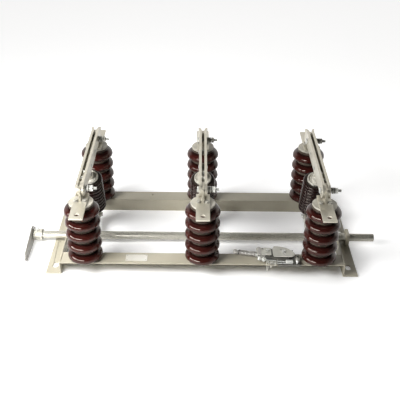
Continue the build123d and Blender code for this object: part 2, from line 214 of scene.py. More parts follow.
def plate(outline, thickness, holes=(), cuts=()):
    """A flat plate on XY, grown along Z from 0. Holes are (x, y, radius), and cuts are outlines."""
    work = bmesh.new()
    loops = [outline] + list(cuts)
    for x, y, radius in holes:
        loops.append(arc((x, y), radius, 0, 360, 32)[:-1])
    edges = []
    for loop in loops:
        corners = [work.verts.new((x, y, 0)) for x, y in loop]
        for one, other in zip(corners, corners[1:] + corners[:1]):
            edges.append(work.edges.new((one, other)))
    bmesh.ops.triangle_fill(work, use_beauty=True, use_dissolve=False, edges=edges)
    grown = bmesh.ops.extrude_face_region(work, geom=list(work.faces), use_keep_orig=True)
    moved = [item for item in grown["geom"] if isinstance(item, bmesh.types.BMVert)]
    bmesh.ops.translate(work, verts=moved, vec=(0, 0, thickness))
    bmesh.ops.dissolve_limit(work, angle_limit=radians(1), verts=work.verts, edges=work.edges)
    return finished(work, 30)


def rounded_box_outline(x0, x1, y0, y1, radius, steps=6):
    """A rectangle with round corners, as outline points."""
    corners = (((x1 - radius, y1 - radius), 0), ((x0 + radius, y1 - radius), 90),
               ((x0 + radius, y0 + radius), 180), ((x1 - radius, y0 + radius), 270))
    points = []
    for corner, start in corners:
        points += arc(corner, radius, start, start + 90, steps)
    return points


def rod(radius, length, chamfer=0.0005, steps=32):
    """A round bar along Z from 0, with chamfered ends."""
    return turned([(0, 0), (radius - chamfer, 0), (radius, chamfer), (radius, length - chamfer),
                   (radius - chamfer, length), (0, length)], steps)


def washer(outer, inner, thick, chamfer=0.0004):
    """A flat washer from z 0 up."""
    return turned([(inner, 0), (outer - chamfer, 0), (outer, chamfer), (outer, thick - chamfer),
                   (outer - chamfer, thick), (inner, thick)], 40)


def threaded(radius, length, pitch=0.00150):
    """A threaded bar along Z from 0, with a chamfered end."""
    points = [(0, 0), (radius, 0)]
    turns = int(length / pitch)
    for turn in range(turns):
        height = turn * pitch
        points.append((radius, height + 0.25 * pitch))
        points.append((radius - 0.6 * pitch, height + 0.75 * pitch))
    points += [(radius - 0.9 * pitch, length), (0, length)]
    return turned(points, 28, 20)


def hexagon(across, height, bore=0.0):
    """A nut or, with no bore, a bolt head from z 0 up, with both ends chamfered."""
    steps = 48
    apothem = across / 2
    end_r = apothem * 0.97        # of the round flat at each end
    turns = [2 * pi * step / steps for step in range(steps)]
    corners = [apothem / cos((turn + pi / 6) % (pi / 3) - pi / 6) for turn in turns]
    rises = [max(0.0, corner - end_r) * tan(radians(30)) for corner in corners]
    ends = [min(corner, end_r) for corner in corners]
    inner = [bore or apothem * 0.5] * steps
    low, high = [0] * steps, [height] * steps
    rings = ((inner, low), (ends, low), (corners, rises), (corners, [height - rise for rise in rises]),
             (ends, high), (inner, high))
    vertices = [(radius * cos(turn), radius * sin(turn), z)
                for radii, levels in rings for turn, radius, z in zip(turns, radii, levels)]
    faces = ring_faces(len(rings), steps, bool(bore))
    if not bore:
        faces += end_faces(len(rings), steps)
    return shape(vertices, faces, 25)


def tube(points, radius, steps=10, closed=False):
    """A round wire through points."""
    vertices = []
    count = len(points)
    up = Vector((0.31, 0.42, 0.85))
    for index, point in enumerate(points):
        before = Vector(points[(index - 1) % count] if closed or index else points[index])
        after = Vector(points[(index + 1) % count] if closed or index < count - 1 else points[index])
        along = (after - before).normalized()
        side = along.cross(up).normalized()
        lift = side.cross(along).normalized()
        up = lift
        for step in range(steps):
            turn = 2 * pi * step / steps
            vertices.append(Vector(point) + radius * (cos(turn) * side + sin(turn) * lift))
    faces = ring_faces(count, steps, closed)
    if not closed:
        faces += end_faces(count, steps)
    return shape(vertices, faces, 50)


def coil(radius, wire_r, length, turns):
    """A coil spring along Z from 0, with flattened end turns."""
    points = []
    steps = int(turns * 20)
    for step in range(steps + 1):
        share = step / steps
        eased = share - 0.07 * sin(2 * pi * share)
        turn = 2 * pi * turns * share
        points.append((radius * cos(turn), radius * sin(turn), wire_r + (length - 2 * wire_r) * eased))
    return tube(points, wire_r)


def weld_bead(points, radius, seed=0.0):
    """A weld seam along points, with the ripples that a welder leaves."""
    vertices = []
    steps = 10
    for index, point in enumerate(points):
        before = Vector(points[max(index - 1, 0)])
        after = Vector(points[min(index + 1, len(points) - 1)])
        along = (after - before).normalized()
        side = along.cross(Vector((0.2, 0.3, 0.93))).normalized()
        lift = side.cross(along)
        swell = radius * (1 + 0.12 * sin(index * 1.9 + seed) + 0.08 * sin(index * 0.7 + 2 * seed))
        if index in (0, len(points) - 1):
            swell *= 0.45
        for step in range(steps):
            turn = 2 * pi * step / steps
            vertices.append(Vector(point) + swell * (cos(turn) * side + sin(turn) * lift))
    faces = ring_faces(len(points), steps) + end_faces(len(points), steps)
    return shape(vertices, faces, 60)


def run(start, end, count):
    """Evenly spaced points from start to end."""
    start, end = Vector(start), Vector(end)
    return [start.lerp(end, index / (count - 1)) for index in range(count)]


def shed_profile(length, outer_r, middles, shoulder_r):
    """Profile of a porcelain post: sheds with a high round back and a flatter underside over a slim core."""
    core_r = outer_r - shed_reach
    points = [(0, 0)]
    for height in middles:
        first = -90
        if height == middles[0]:
            first = -70
            points.append((core_r + shed_reach * cos(radians(first)), 0))
        last = 90
        if height == middles[-1]:
            last = degrees(acos((shoulder_r - core_r) / shed_reach))
        for step in range(23):
            turn = radians(first + (last - first) * step / 22)
            rise = shed_above if turn > 0 else shed_below
            points.append((core_r + shed_reach * cos(turn), height + rise * sin(turn)))
    points.append((shoulder_r, length))
    points.append((0, length))
    return points


def wavy_profile(length, outer_r, middles, bulge_r, bend_r):
    """Profile of a ribbed porcelain body: round ribs at the given heights that flow into round grooves."""
    pitch = middles[1] - middles[0]
    bulge_in = outer_r - bulge_r
    bend_out = bulge_in + sqrt((bulge_r + bend_r) ** 2 - (pitch / 2) ** 2)
    lean = degrees(atan2(pitch / 2, bend_out - bulge_in))
    points = [(0, 0)]
    for height in middles:
        first, last = -lean, lean
        if height == middles[0]:
            first = -degrees(asin(min(0.97, height / bulge_r)))
        if height == middles[-1]:
            last = degrees(asin(min(0.97, (length - height) / bulge_r)))
        points += arc((bulge_in, height), bulge_r, first, last, 14)
        if height != middles[-1]:
            points += arc((bend_out, height + pitch / 2), bend_r, 180 + lean, 180 - lean, 8)[1:-1]
    points.append((0, length))
    return points


# Places and turns

as_drawn = Matrix()
cyclic = Matrix(((0, 0, 1, 0), (1, 0, 0, 0), (0, 1, 0, 0), (0, 0, 0, 1)))  # Z to X, X to Y, Y to Z


def at(x, y, z):
    return Matrix.Translation((x, y, z))


def along_x(x, y, z):
    """From a shape on Z to the same on X, from a point on."""
    return at(x, y, z) @ cyclic


def against_x(x, y, z):
    """From a shape on Z to the same pointing along -X."""
    return at(x, y, z) @ Matrix.Rotation(pi, 4, "Z") @ cyclic


def against_y(x, y, z):
    """From a shape on Z to the same pointing along -Y."""
    return at(x, y, z) @ Matrix.Rotation(pi / 2, 4, "X")


def downwards(x, y, z):
    """From a shape on Z to the same pointing along -Z."""
    return at(x, y, z) @ Matrix.Rotation(pi, 4, "X")


outwards = {"left": against_x, "right": along_x}


def piece(name, mesh, place, material, body="frame", replaced=None, bevel=0.0):
    """Put a finished shape in its place, on its body."""
    obj = bpy.data.objects.new(name, mesh)
    bpy.context.scene.collection.objects.link(obj)
    obj.matrix_world = place
    mesh.materials.append(material)
    if bevel:
        soften(obj, bevel)
    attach(obj, body)
    if replaced:
        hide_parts(replaced)


def bolt_on_washer(name, washer_name, place, size, material, body="frame", turn=0.0):
    """A washer with a bolt's head on it, along the place's Z."""
    disc, bore, thick, across, height = size
    piece(washer_name, washer(disc, bore, thick), place, material, body)
    on_top = place @ at(0, 0, thick) @ Matrix.Rotation(turn, 4, "Z")
    piece(name, hexagon(across, height), on_top, material, body)


def soften(obj, width):
    """Round the sharp edges of a plate or block."""
    round_off = obj.modifiers.new("Rounding", "BEVEL")
    round_off.width = width
    round_off.segments = 2
    round_off.limit_method = "ANGLE"
    round_off.angle_limit = radians(35)
    round_off.use_clamp_overlap = True
    level = obj.modifiers.new("Flat faces", "WEIGHTED_NORMAL")
    level.keep_sharp = False


def dress(node, material, width, join_flat=True):
    """Give a carried-over node its material and rounded edges."""
    obj = frame["nodes"][node]
    obj.data.materials.clear()
    obj.data.materials.append(material)
    weld = obj.modifiers.new("Join points", "WELD")
    weld.merge_threshold = 1e-6
    if join_flat:
        flat = obj.modifiers.new("Join flat faces", "DECIMATE")
        flat.decimate_type = "DISSOLVE"
        flat.angle_limit = radians(0.5)
    soften(obj, width)


# Materials

class Nodes:
    """A node tree with short ways to add nodes and wires."""

    def __init__(self, tree):
        self.tree = tree

    def add(self, kind, inputs=None, **settings):
        node = self.tree.nodes.new("ShaderNode" + kind)
        for key, value in settings.items():
            setattr(node, key, value)
        for key, value in (inputs or {}).items():
            self.put(value, node.inputs[key])
        return node

    def put(self, value, socket):
        """Wire another node's output into a socket, or set the socket."""
        if isinstance(value, bpy.types.NodeSocket):
            self.tree.links.new(value, socket)
        elif hasattr(value, "outputs"):
            self.tree.links.new(value.outputs[0], socket)
        elif isinstance(value, tuple) and len(value) == 3 and socket.type == "RGBA":
            socket.default_value = (*value, 1)
        else:
            socket.default_value = value

    def math(self, operation, one, other=0.0, clamp=False):
        return self.add("Math", {0: one, 1: other}, operation=operation, use_clamp=clamp)

    def between(self, value, low, high, to_low=0.0, to_high=1.0):
        return self.add("MapRange", {"Value": value, "From Min": low, "From Max": high,
                                     "To Min": to_low, "To Max": to_high})


class Surface(Nodes):
    """A node material."""

    def __init__(self, name):
        self.material = bpy.data.materials.new(name)
        self.material.use_nodes = True
        super().__init__(self.material.node_tree)
        self.shader = self.tree.nodes["Principled BSDF"]

    def set(self, **values):
        for key, value in values.items():
            self.put(value, self.shader.inputs[key.replace("_", " ")])

    def noise(self, scale, detail, roughness, vector):
        return self.add("TexNoise", {"Scale": scale, "Detail": detail, "Roughness": roughness,
                                     "Vector": vector})

    def place(self):
        return self.add("TexCoord").outputs["Object"]

    def stretch(self, vector, scale):
        return self.add("Mapping", {"Vector": vector, "Scale": scale})

    def mix(self, factor, one, other):
        return self.add("Mix", {0: factor, 6: one, 7: other}, data_type="RGBA").outputs[2]

    def bump(self, height, strength, distance, below=None):
        inputs = {"Height": height, "Strength": strength, "Distance": distance}
        if below is not None:
            inputs["Normal"] = below
        return self.add("Bump", inputs)


def paint(name, light, dark, rough):
    """Sprayed paint over rolled steel: faint clouds, fine grain, and rubbed places."""
    s = Surface(name)
    where = s.place()
    clouds = s.between(s.noise(9.0, 5.0, 0.6, where), 0.36, 0.64)
    grain = s.noise(420.0, 3.0, 0.6, where)
    colour = s.mix(clouds, dark, light)
    specks = s.between(grain, 0.62, 0.72, 0.0, 0.35)
    rubbed = s.mix(specks, colour, tuple(0.8 * part for part in dark))
    roughness = s.between(s.noise(35.0, 4.0, 0.5, where), 0.3, 0.7, rough - 0.07, rough + 0.09)
    peel = s.bump(grain, 0.10, 0.0004)
    dents = s.bump(s.noise(14.0, 2.0, 0.5, where), 0.25, 0.0012, peel)
    s.set(Base_Color=rubbed, Roughness=roughness, Normal=dents)
    return s.material


def glaze(name, axis_r, low_r, thin, thick, groove_band, groove_band_r):
    """Brown glaze on porcelain: redder where it runs thin over a rib's edge, and darker further in, a
    darkening that is partly painted shade between the sheds; with a paler, duller grey-brown band in the
    grooves."""
    s = Surface(name)
    where = s.place()
    parts = s.add("SeparateXYZ", {"Vector": where})
    flat = s.add("CombineXYZ", {"X": parts.outputs["X"], "Y": parts.outputs["Y"]})
    radius = s.add("VectorMath", {"Vector": flat}, operation="LENGTH").outputs["Value"]
    rim = s.between(radius, low_r, axis_r)
    clouds = s.between(s.noise(28.0, 3.0, 0.5, where), 0.35, 0.65, -0.16, 0.16)
    share = s.math("ADD", rim, clouds, clamp=True)
    # Darker toward the core: partly the glaze's own tone, partly painted shade in the hollows between the
    # sheds
    colour = s.mix(share, thick, thin)
    # A paler, rougher grey-brown band near the core, in the grooves
    groove = s.between(radius, groove_band_r, groove_band_r + 0.0015, 1.0, 0.0)
    colour = s.mix(groove, colour, groove_band)
    roughness = s.between(groove, 0.0, 1.0, 0.045, 0.40)
    ripple = s.bump(s.noise(60.0, 2.0, 0.4, where), 0.06, 0.0008)
    s.set(Base_Color=colour, Roughness=roughness, Specular_IOR_Level=0.32, Specular_Tint=(1.0, 0.88, 0.78),
          Normal=ripple)
    return s.material


def metal(name, light, dark, rough, metallic, brushed=(60, 4, 60), scratch=0.12, clouds=18.0):
    """Plated or bare metal with a faint brushed grain and soft stains."""
    s = Surface(name)
    where = s.place()
    grain = s.noise(16.0, 5.0, 0.65, s.stretch(where, brushed))
    stains = s.between(s.noise(clouds, 5.0, 0.6, where), 0.35, 0.66)
    colour = s.mix(stains, dark, light)
    roughness = s.between(grain, 0.3, 0.7, rough - 0.08, rough + 0.08)
    lines = s.bump(grain, scratch, 0.0003)
    s.set(Base_Color=colour, Roughness=roughness, Metallic=metallic, Normal=lines)
    return s.material


def cast(name, light, dark, rough, metallic):
    """Cast iron with a thin coat: sandy grain and darker blotches."""
    s = Surface(name)
    where = s.place()
    sand = s.noise(260.0, 4.0, 0.7, where)
    blotches = s.between(s.noise(22.0, 4.0, 0.6, where), 0.35, 0.65)
    colour = s.mix(blotches, dark, light)
    roughness = s.between(sand, 0.3, 0.7, rough - 0.06, rough + 0.08)
    s.set(Base_Color=colour, Roughness=roughness, Metallic=metallic, Normal=s.bump(sand, 0.22, 0.0005))
    return s.material


def painted_hub(name, light, dark, hub, rough):
    """Bare stained steel on a lever's plate, and the shaft's paint from the plate's inner face on."""
    s = Surface(name)
    where = s.place()
    stains = s.between(s.noise(30.0, 5.0, 0.6, where), 0.35, 0.66)
    bare = s.mix(stains, dark, light)
    across = s.add("SeparateXYZ", {"Vector": where}).outputs["X"]
    on_hub = s.between(across, hub_start, hub_start + 0.0006)
    colour = s.mix(on_hub, bare, hub)
    grain = s.noise(16.0, 5.0, 0.65, s.stretch(where, (50, 50, 4)))
    s.set(Base_Color=colour, Roughness=rough, Metallic=0.3, Normal=s.bump(grain, 0.12, 0.0003))
    return s.material


along_grain = (4, 60, 60)     # how fine the grain is along X, Y and Z
even_grain = (40, 40, 40)
hub_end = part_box("operating_lever")[1].x
hub_reach = 0.0315            # of the painted hub, up to its end
hub_start = hub_end - hub_reach
frame_paint = paint("frame_paint", (0.415, 0.385, 0.300), (0.365, 0.335, 0.255), 0.46)
shaft_paint = metal("shaft_paint", (0.52, 0.505, 0.44), (0.46, 0.44, 0.375), 0.30, 0.45, along_grain, 0.05)
weld_paint = paint("weld_paint", (0.375, 0.345, 0.265), (0.310, 0.280, 0.210), 0.50)
# The darker inner glaze colours are partly painted shade between the sheds and ribs
post_glaze = glaze("post_glaze", shed_r, shed_r - 0.014, (0.034, 0.0058, 0.0043), (0.012, 0.0036, 0.0029),
                   (0.075, 0.060, 0.046), 0.0405)
drag_glaze = glaze("drag_glaze", drag_body_r, drag_body_r - 0.006, (0.012, 0.0040, 0.0034),
                   (0.006, 0.0030, 0.0028), (0.020, 0.016, 0.013), 0.0375)
plated = metal("plated_metal", (0.54, 0.51, 0.43), (0.46, 0.43, 0.345), 0.34, 0.6)
dark_steel = metal("dark_steel", (0.10, 0.10, 0.09), (0.06, 0.06, 0.05), 0.40, 0.4, even_grain, 0.08)
cap_iron = cast("cap_iron", (0.44, 0.415, 0.355), (0.35, 0.33, 0.275), 0.46, 0.15)
drag_iron = cast("drag_iron", (0.60, 0.58, 0.51), (0.46, 0.44, 0.38), 0.38, 0.2)
zinc = metal("zinc_steel", (0.66, 0.67, 0.64), (0.54, 0.54, 0.51), 0.24, 0.4, even_grain, 0.05)
lever_steel = painted_hub("lever_steel", (0.250, 0.240, 0.215), (0.180, 0.170, 0.150), (0.52, 0.50, 0.43),
                          0.36)
drive_steel = metal("drive_steel", (0.57, 0.56, 0.50), (0.46, 0.45, 0.40), 0.34, 0.5, along_grain)
# Near-black steel for the drive's base plate: painted shade, far darker than the plate's own pale grey, for
# the shade under the arm and sector
base_steel_painted_shade = metal("base_steel_painted_shade", (0.21, 0.205, 0.18), (0.13, 0.125, 0.11), 0.38, 0.5, along_grain)
blank_metal = metal("blank_plate", (0.64, 0.62, 0.56), (0.59, 0.57, 0.50), 0.40, 0.1, (4, 80, 80), 0.06)
stained_bolt = metal("stained_bolt", (0.42, 0.41, 0.36), (0.30, 0.29, 0.25), 0.34, 0.3, even_grain, 0.05)
sleeve_metal = metal("sleeve_metal", (0.46, 0.44, 0.41), (0.30, 0.29, 0.265), 0.30, 0.2, along_grain, 0.08)
spring_steel = metal("spring_steel", (0.26, 0.26, 0.23), (0.17, 0.17, 0.15), 0.32, 0.5, even_grain, 0.05)
bright_nut = metal("bright_nut", (0.74, 0.74, 0.70), (0.62, 0.62, 0.57), 0.28, 0.2, even_grain, 0.05)
knob_plastic = cast("knob_plastic", (0.66, 0.64, 0.60), (0.60, 0.58, 0.54), 0.30, 0.0)

# Frame
for node in ("front_beam", "rear_beam", "shaft_bearing"):
    dress(node, frame_paint, 0.0010)
for node in ("left_end_member", "right_end_member"):
    dress(node, frame_paint, 0.0010, False)
dress("nameplate", blank_metal, 0.0003)

plate_low, plate_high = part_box("nameplate")
rivet_inset = 0.005
rivet_places = [(x, y) for x in (plate_low.x + rivet_inset, plate_high.x - rivet_inset)
                for y in (plate_low.y + rivet_inset, plate_high.y - rivet_inset)]
for number, (x, y) in enumerate(rivet_places):
    dome = turned([(0, 0), (0.0019, 0), (0.0018, 0.0005), (0.0012, 0.0009), (0, 0.0011)], 20)
    piece("nameplate_rivet_" + str(number), dome, at(x, y, plate_high.z), zinc)

bead_r = 0.0026
bead_sink = 0.0006            # of the seams on top
bead_inset = 0.004            # of a seam's ends from the beam's edges
for row in rows:
    low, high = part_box(row + "_beam")
    inner_y = high.y if row == "front" else low.y
    top_z = high.z - bead_sink
    for end, end_x in (("left", low.x), ("right", high.x)):
        name = row + "_" + end
        on_top = run((end_x, low.y + bead_inset, top_z), (end_x, high.y - bead_inset, top_z), 34)
        piece("weld_top_" + name, weld_bead(on_top, bead_r, pole_x[end] * 9), as_drawn, weld_paint)
        upright = run((end_x, inner_y, bead_inset), (end_x, inner_y, high.z - bead_inset), 26)
        piece("weld_side_" + name, weld_bead(upright, bead_r, end_x * 5), as_drawn, weld_paint)

# Post insulators, and the bolts that hold them under the beams
flange_wall = 0.005
post_profile = shed_profile(post_height, shed_r, shed_middles, cap_r)
for row in rows:
    for pole in poles:
        x, y, name = pole_x[pole], row_y[row], row + "_" + pole
        bolt_on_washer("post_bolt_" + name, "post_washer_" + name, downwards(x, y, beam_top - flange_wall),
                       post_bolt, zinc)
        piece("porcelain_" + name, turned(post_profile, 96), at(x, y, beam_top), post_glaze,
              replaced="post_insulator_" + name)

# Terminals: cap, pad and tongue
cap_profile = [(0, 0), (cap_r - 0.0008, 0)]
cap_profile += arc((cap_r - cap_rounding, cap_height - cap_rounding), cap_rounding, 0, 90, 6)
cap_profile += [(0, cap_height)]
pad_z = post_top + cap_height
tongue_foot = pad_z + pad_thick
tongue_start = tongue_foot - 0.001
tongue_corner_z = tongue_top - tongue_corner_r
for row, outward in rows.items():
    kind = "hinge" if row == "front" else "jaw"
    low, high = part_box(kind + "_terminal_middle")
    hole_y = low.y + pad_hole_from_end if row == "front" else high.y - pad_hole_from_end
    pad_outline = rounded_box_outline(-pad_width / 2, pad_width / 2, low.y, high.y, pad_corner_r)
    y0, y1 = sorted(row_y[row] - outward * end for end in tongue_ends[kind])
    tongue_outline = [(y0, tongue_start), (y1, tongue_start)]
    for corner_y, start in ((y1 - tongue_corner_r, 0), (y0 + tongue_corner_r, 90)):
        tongue_outline += arc((corner_y, tongue_corner_z), tongue_corner_r, start, start + 90, 8)
    for pole in poles:
        x, name = pole_x[pole], row + "_" + pole
        node = kind + "_terminal_" + pole
        piece("cap_" + name, turned(cap_profile, 80), at(x, row_y[row], post_top), cap_iron, replaced=node)
        pad = plate(pad_outline, pad_thick, ((0, hole_y, pad_hole_r),))
        piece("pad_" + name, pad, at(x, 0, pad_z), plated, "frame", node, 0.0007)
        tongue = plate(tongue_outline, tongue_thick)
        piece("tongue_" + name, tongue, along_x(x - tongue_thick / 2, 0, 0), plated, "frame", node, 0.0009)
        for side, word in sides:
            place = at(x + side * pad_bolt_apart, row_y[row] + outward * pad_bolt_out, tongue_foot)
            which = word + "_" + name
            bolt_on_washer("pad_bolt_" + which, "pad_washer_" + which, place, pad_bolt, stained_bolt,
                           turn=x + side)
        for side, word in sides:
            seam_x = x + side * tongue_thick / 2
            seam = run((seam_x, y0 + 0.002, tongue_foot), (seam_x, y1 - 0.002, tongue_foot), 30)
            piece("braze_" + name + "_" + word[0], weld_bead(seam, 0.0014, x * 7 + side), as_drawn, plated)


# Blades

def blade_bar(side):
    """One flat bar on edge: a round nose, a long straight and a tail that bends outwards."""
    low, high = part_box("blade_middle")
    nose_r = bar_height / 2
    z = hinge.z
    inner = side * bar_gap
    outer = side * (bar_gap + bar_thick)
    stations = []
    for step in range(1, 13):
        turn = radians(90 * step / 12)
        stations.append((low.y + nose_r * (1 - cos(turn)), nose_r * sin(turn), 0.0))
    bend_start = high.y - flare_length
    stations.append((bend_start, nose_r, 0.0))
    for step in range(1, 9):
        share = step / 8
        bend = flare_spread * (share ** 1.3)
        half = nose_r if share < 1 else nose_r - 0.0025
        stations.append((bend_start + flare_length * share, half, side * bend))
    vertices = []
    for y, half, shift in stations:
        thinner = 0.45 * shift
        vertices += [(inner + shift, y, z - half), (outer + shift - thinner, y, z - half),
                     (outer + shift - thinner, y, z + half), (inner + shift, y, z + half)]
    return shape(vertices, end_faces(len(stations), 4) + ring_faces(len(stations), 4), 30)


def rivet(radius, height):
    """A round rivet head from z 0 up."""
    crown = arc((0, -0.4 * radius), 1.4 * radius * 0.98, 46, 90, 8)
    scale = height / max(z for _, z in crown)
    return turned([(0, 0)] + [(r, max(0.0, z) * scale) for r, z in crown[:-1]] + [(0, height)], 28)


outer = bar_gap + bar_thick
tube_length = 2 * bar_gap + 0.002      # of the small tubes between the bars, which sink into them
rivets = (("spacer", spacer_y, hinge.z, 0.0065), ("pin", drag_pin.y, drag_pin.z, 0.0075))
for pole in poles:
    x, body, node = pole_x[pole], pole + "_blade", "blade_" + pole
    for side, word in sides:
        piece("bar_" + word + "_" + pole, blade_bar(side), at(x, 0, 0), plated, body, node, 0.0008)
    piece("spacer_" + pole, rod(spacer_r, tube_length), along_x(x - tube_length / 2, spacer_y, hinge.z),
          bright_nut, body, node)
    for number, y in enumerate(front_spacer_y):
        place = along_x(x - tube_length / 2, y, hinge.z + front_spacer_rise)
        piece("front_spacer_" + str(number) + "_" + pole, rod(front_spacer_r, tube_length), place, bright_nut,
              body)
    place = along_x(x - outer, drag_pin.y, drag_pin.z)
    piece("drag_pin_" + pole, rod(0.006, 2 * outer), place, zinc, body, node)
    for part, y, z, radius in rivets:
        for side, word in sides:
            piece("rivet_" + part + "_" + word + "_" + pole, rivet(radius, 0.0028),
                  outwards[word](x + side * outer, y, z), zinc, body)


# Spring bolts

def spring_bolt(pole, kind, y):
    """A bolt through a blade's bars, with its head, washers, spring and nut."""
    x, node = pole_x[pole], kind + "_bolt_" + pole
    low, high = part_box(node)
    disc_metal = bright_nut if kind == "hinge" else stained_bolt

    def on_bolt(part, mesh, start, material, towards=along_x, replaced=node):
        piece(part + "_" + kind + "_" + pole, mesh, towards(start, y, hinge.z), material, pole + "_blade",
              replaced)

    head_start = x - outer - head_washer_thick
    on_bolt("bolt_head", hexagon(bolt_across, head_start - low.x), head_start, zinc, against_x)
    on_bolt("head_washer", washer(head_washer_r, bolt_r, head_washer_thick), head_start, zinc)
    shank_length = high.x - shank_from_end - (x - outer)
    on_bolt("shank", rod(bolt_r - 0.0006, shank_length), x - outer, dark_steel)
    if kind == "contact":
        between_bars = rod(bolt_r + 0.0004, 2 * bar_gap - 0.0004)
        on_bolt("bolt_tube", between_bars, x - bar_gap + 0.0002, bright_nut)
    on_bolt("thread", threaded(bolt_r, thread_length), high.x - thread_length, zinc)
    on_bolt("inner_washer", washer(disc_r, bolt_r, disc_thick), x + outer, disc_metal)
    spring_start = x + outer + disc_thick
    on_bolt("spring", coil(spring_r, spring_wire_r, spring_length, spring_turns), spring_start, spring_steel)
    if kind == "hinge":
        halfway = spring_start + (spring_length - middle_disc_thick) / 2
        on_bolt("middle_washer", washer(disc_r, bolt_r, middle_disc_thick), halfway, disc_metal,
                replaced=None)
    after = spring_start + spring_length
    on_bolt("outer_washer", washer(disc_r, bolt_r, outer_disc_thick), after, disc_metal)
    nut = hexagon(bolt_across, nut_height, bolt_r - 0.0002)
    on_bolt("nut", nut, after + nut_from_spring, disc_metal)


for pole in poles:
    spring_bolt(pole, "hinge", hinge.y)
    spring_bolt(pole, "contact", contact_bolt_y)

# Drag insulators, drawn hanging down from the blade's pin and then leaned
lean = atan2(crank_pin.y - drag_pin.y, drag_pin.z - crank_pin.z)
link_length = hypot(crank_pin.y - drag_pin.y, drag_pin.z - crank_pin.z)


def eye_plate(far, eye_r, foot_r, thick, hole_r=0.0):
    """A flat eye hanging from the origin down to far, in the plane across X."""
    outline = arc((0, 0), eye_r, 0, 180, 20) + [(-foot_r, -far), (foot_r, -far)]
    return plate(outline, thick, ((0, 0, hole_r),) if hole_r else ())


def drag_cap(boss_r, boss_height):
    """A round cap from z 0 up, with a raised rim, a stepped dish in it and a boss in the dish."""
    rim = drag_cap_thick
    dish = rim - 0.0036
    profile = [(0, 0), (drag_cap_r - 0.001, 0), (drag_cap_r, 0.001)]
    profile += arc((drag_cap_r - 0.0022, rim - 0.0022), 0.0022, 0, 180, 10)
    profile += [(drag_cap_r - 0.0046, dish), (0.0215, dish), (0.0205, rim - 0.0026), (0.0185, rim - 0.0026),
                (0.0175, dish), (boss_r + 0.0015, dish), (boss_r, rim - 0.0020),
                (boss_r - 0.0004, rim + boss_height - 0.0012), (boss_r - 0.0016, rim + boss_height),
                (0, rim + boss_height)]
    return turned(profile, 72, 35)


drag_profile = wavy_profile(drag_body_length, drag_body_r, drag_rib_middles, drag_rib_bulge_r,
                            drag_groove_bend_r)
cap_z = -(drag_stem + drag_cap_thick)
low_cap_z = cap_z - drag_body_length
low_pin_length = 0.016
low_eye_thick = 0.010
low_eye_reach = link_length + low_cap_z - 0.014
for pole in poles:
    body = pole + "_drag_link"
    hang = at(pole_x[pole], drag_pin.y, drag_pin.z) @ Matrix.Rotation(lean, 4, "X")
    upper_node, lower_node = "drag_upper_fitting_" + pole, "drag_lower_fitting_" + pole
    eye = eye_plate(drag_stem - 0.010, eye_r=0.012, foot_r=0.011, thick=tongue_thick, hole_r=0.0061)
    place = hang @ along_x(-tongue_thick / 2, 0, 0)
    piece("drag_eye_" + pole, eye, place, drag_iron, body, upper_node, 0.0012)
    cap = drag_cap(boss_r=0.0135, boss_height=0.014)
    piece("drag_cap_top_" + pole, cap, hang @ at(0, 0, cap_z), drag_iron, body, upper_node)
    piece("drag_porcelain_" + pole, turned(drag_profile, 96), hang @ at(0, 0, low_cap_z), drag_glaze, body,
          "drag_insulator_" + pole)
    cap = drag_cap(boss_r=0.0155, boss_height=0.008)
    piece("drag_cap_bottom_" + pole, cap, hang @ downwards(0, 0, low_cap_z), drag_iron, body, lower_node)
    low_eye = eye_plate(low_eye_reach, eye_r=0.013, foot_r=0.012, thick=low_eye_thick)
    place = along_x(-low_eye_thick / 2, 0, -link_length) @ Matrix.Rotation(pi, 4, "Z")
    piece("drag_low_eye_" + pole, low_eye, hang @ place, drag_iron, body, lower_node, 0.0012)
    piece("low_pin_" + pole, rod(0.006, low_pin_length), hang @ along_x(-low_pin_length / 2, 0, -link_length),
          zinc, body, lower_node)

# Shaft, cranks, lever and collar
for node in ("operating_shaft", "stop_collar"):
    dress(node, shaft_paint, 0.0006)
for pole in poles:
    dress("crank_" + pole, shaft_paint, 0.0009)
dress("operating_lever", lever_steel, 0.0009)

crank_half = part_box("crank_middle")[1].x
crank_weld_r = 0.0142
for pole in poles:
    for side, word in sides:
        name = word + "_" + pole
        face_x = pole_x[pole] + side * crank_half
        around = [(face_x, y, z) for y, z in arc((shaft_axis.y, shaft_axis.z), crank_weld_r, 0, 360, 32)]
        piece("crank_weld_" + name, weld_bead(around, 0.0022, face_x * 3), as_drawn, shaft_paint, "shaft")
        bolt_on_washer("crank_pin_head_" + name, "crank_pin_washer_" + name,
                       outwards[word](face_x, crank_pin.y, crank_pin.z), crank_bolt, zinc, "shaft")

place = at(middle("stop_collar").x, shaft_axis.y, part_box("stop_collar")[1].z - 0.0015)
piece("collar_screw", hexagon(0.008, 0.005), place, zinc, "shaft")

hub_bolt_ring_r = 0.0175
for number, turn in enumerate((35, 145, 215, 325)):
    y = shaft_axis.y + hub_bolt_ring_r * cos(radians(turn))
    z = shaft_axis.z + hub_bolt_ring_r * sin(radians(turn))
    piece("hub_bolt_" + str(number), hexagon(0.0065, 0.003), along_x(hub_end, y, z), zinc, "shaft")
set_bolt_x = hub_end - 0.018
hub_top = shaft_axis.z + 0.0195
piece("hub_set_bolt", hexagon(0.013, 0.006), at(set_bolt_x, shaft_axis.y, hub_top), zinc, "shaft")
eye = tube([(x, 0, z) for x, z in arc((0, 0), 0.0056, 0, 360, 28)[:-1]], 0.0019, closed=True)
piece("hub_set_bolt_eye", eye, at(set_bolt_x, shaft_axis.y, hub_top + 0.0125), zinc, "shaft")

